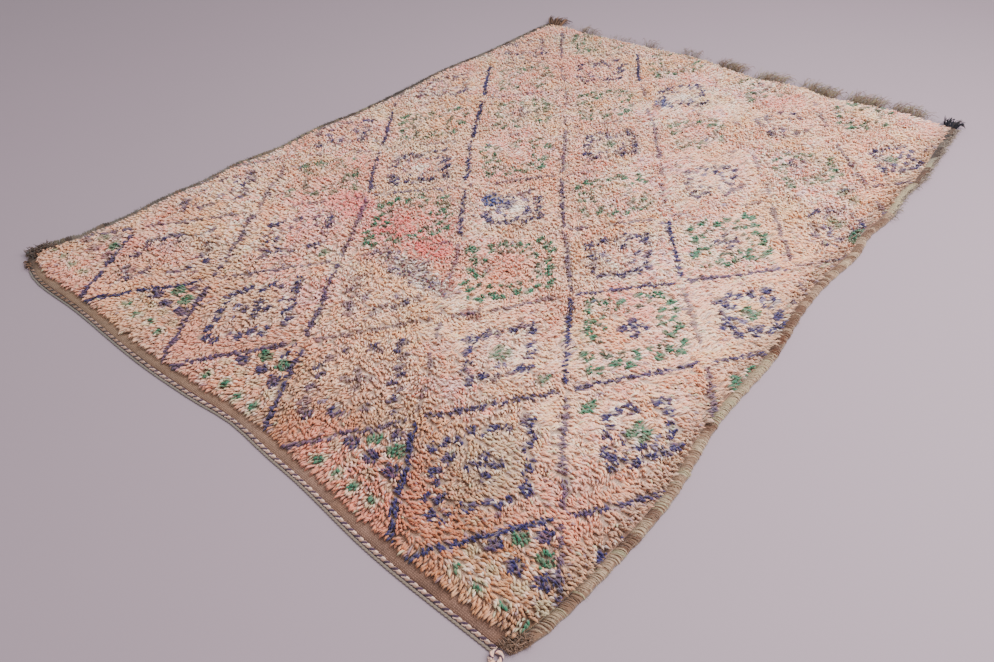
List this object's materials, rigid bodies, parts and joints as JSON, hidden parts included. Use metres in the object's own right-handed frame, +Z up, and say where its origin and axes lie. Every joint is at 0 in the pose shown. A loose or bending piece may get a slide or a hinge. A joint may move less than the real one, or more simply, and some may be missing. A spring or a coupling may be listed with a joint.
{
  "type": "moroccan rug",
  "caption": "Long-pile wool rug with a diamond lattice, bound sides, a braided near end and a warp-fringed far end, lying flat on the floor.",
  "frame": {"origin": "on the underside, in the middle of the rug's width, 1.27 m from the straight line of its near end", "axes": "+X across the rug to its bound right side, +Y along the rug from the braided near end to the fringed far end, +Z up"},
  "size_m": [1.8731, 2.6677, 0.024],
  "materials": {
    "pile_wool": "felted long wool pile, peach cream with blue, green and rose motifs",
    "overcast_wool": "overcast wool binding in brown, beige and grey green",
    "felted_wool": "felted dark wool binding",
    "braid_wool": "two-colour twined wool braid",
    "cord_wool": "plain grey beige wool cord",
    "warp_yarn": "loose fuzzy warp yarn",
    "blue_black_yarn": "near black blue yarn ends",
    "dark_brown_yarn": "dark brown yarn ends",
    "knot_yarn": "braid end in cream, pink and purple"
  },
  "bodies": {
    "root": {"rug_body": "pile_wool", "selvedge_right": "overcast_wool", "selvedge_left": "felted_wool", "near_braid": "braid_wool", "near_cord": "cord_wool", "fringe_far": "warp_yarn", "tuft_far_right": "blue_black_yarn", "tuft_far_left": "dark_brown_yarn", "tuft_near_left": "dark_brown_yarn", "corner_knot_near_right": "knot_yarn"}
  },
  "joints": []
}
